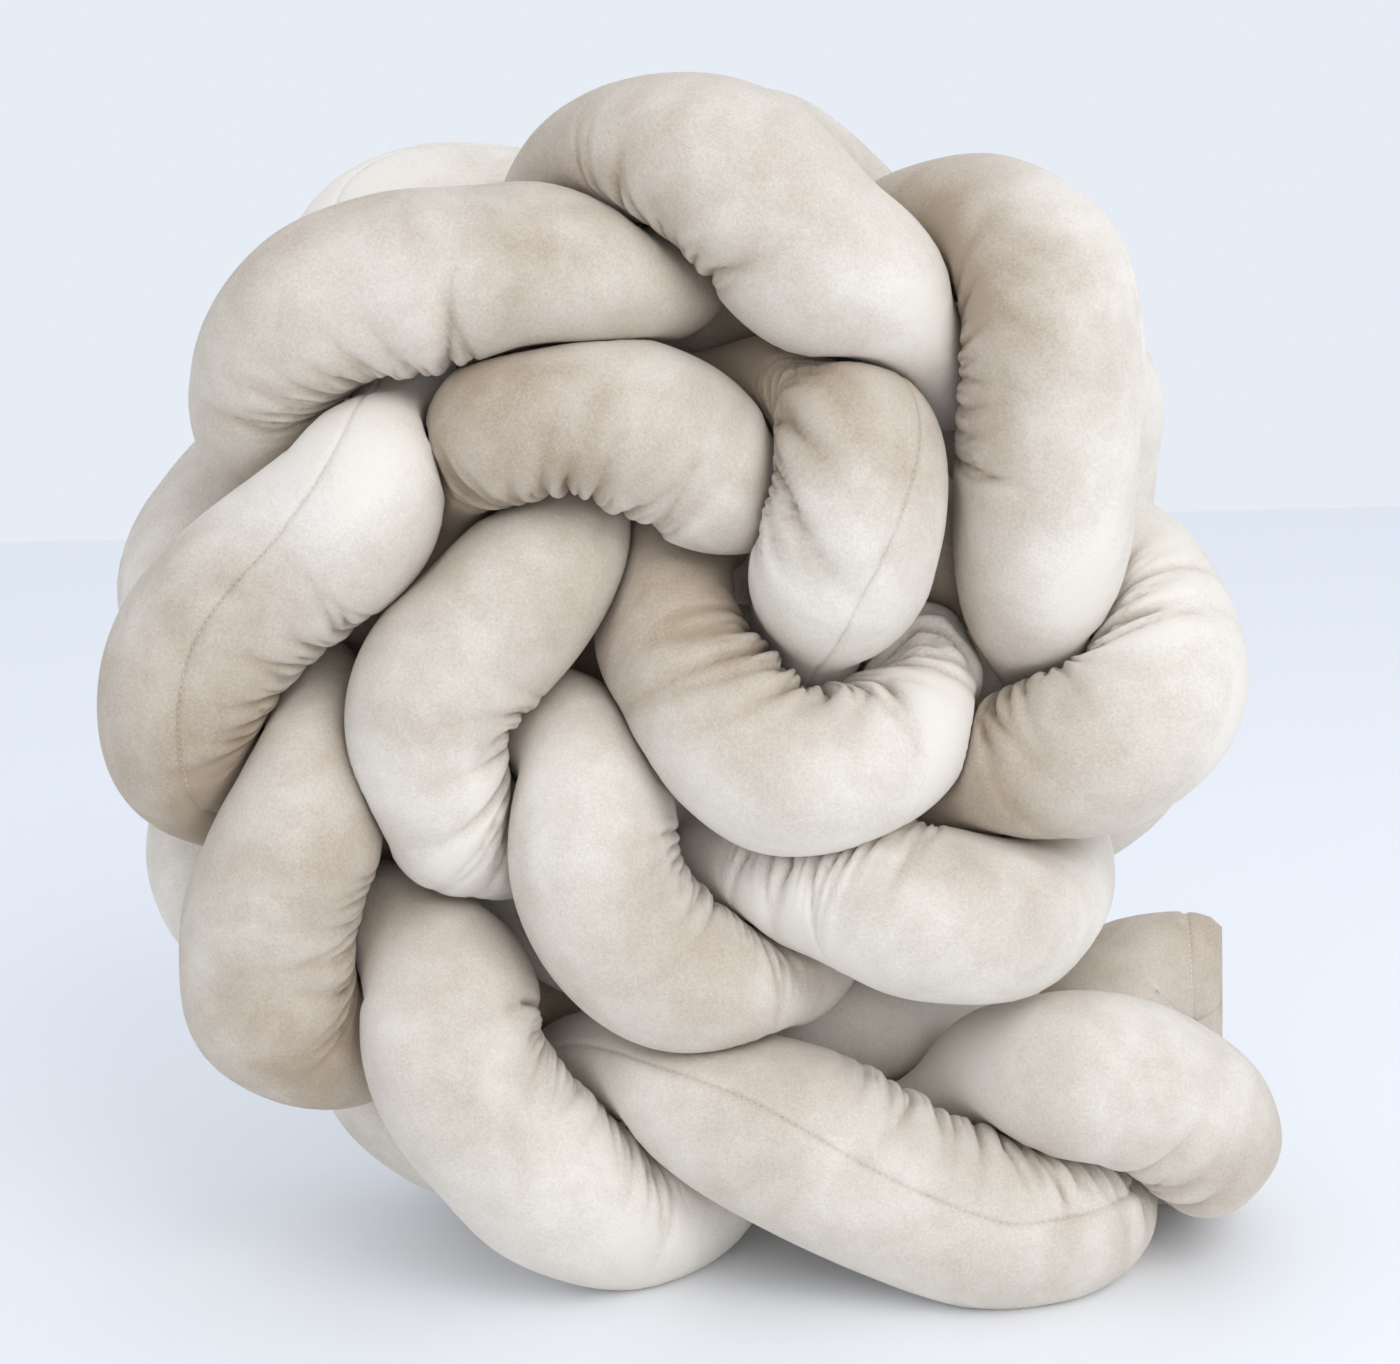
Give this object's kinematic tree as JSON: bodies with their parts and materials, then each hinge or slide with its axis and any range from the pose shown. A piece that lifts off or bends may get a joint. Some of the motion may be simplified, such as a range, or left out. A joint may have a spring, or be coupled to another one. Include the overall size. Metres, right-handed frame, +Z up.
{
  "type": "crib bumper",
  "caption": "Braided crib bumper of fat stuffed velvet tubes, rolled into a spiral and stood on its edge, with its tail end lying to one side.",
  "frame": {"origin": "on the surface that the roll stands on, under the middle of its box", "axes": "+X to the right as the roll's spiral front is seen, towards the tail end; +Y through the roll from its front to its back, the short way; +Z up"},
  "size_m": [0.5532, 0.263, 0.5539],
  "materials": {
    "velvet": "soft short-pile velvet in warm beige, matt with a pale sheen at its edges"
  },
  "bodies": {
    "root": {"strand_1": "velvet", "strand_2": "velvet", "strand_3": "velvet"}
  },
  "joints": []
}
